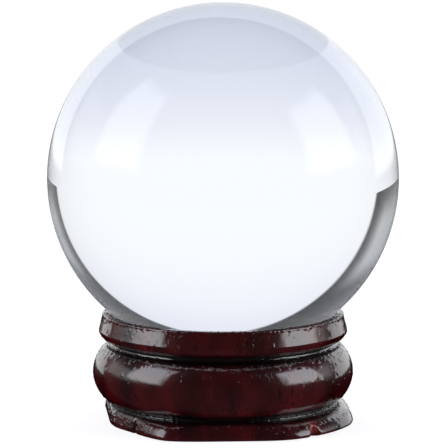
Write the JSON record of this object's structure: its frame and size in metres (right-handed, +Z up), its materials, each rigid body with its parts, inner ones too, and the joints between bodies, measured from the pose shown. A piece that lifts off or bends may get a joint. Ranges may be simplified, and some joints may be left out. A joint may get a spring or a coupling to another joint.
{
  "type": "crystal ball on stand",
  "caption": "Solid clear glass ball lying loose in the conical seat of a low turned wooden stand with a carved foot.",
  "frame": {"origin": "centre of the stand's underside, on the table below the ball's centre", "axes": "+Z up along the stand's turning axis; the front, as pictured, faces -Y"},
  "size_m": [0.08, 0.08, 0.0954],
  "materials": {
    "glass": "polished, clear",
    "wood": "dark red stain under thick gloss lacquer"
  },
  "bodies": {
    "stand": {"turned_stand": "wood"},
    "ball": {"crystal_ball": "glass"}
  },
  "joints": [
    {"name": "ball_lift", "type": "slide", "parent": "stand", "child": "ball", "axis": [0, 0, 1], "range_m": [0, 0.06]}
  ]
}
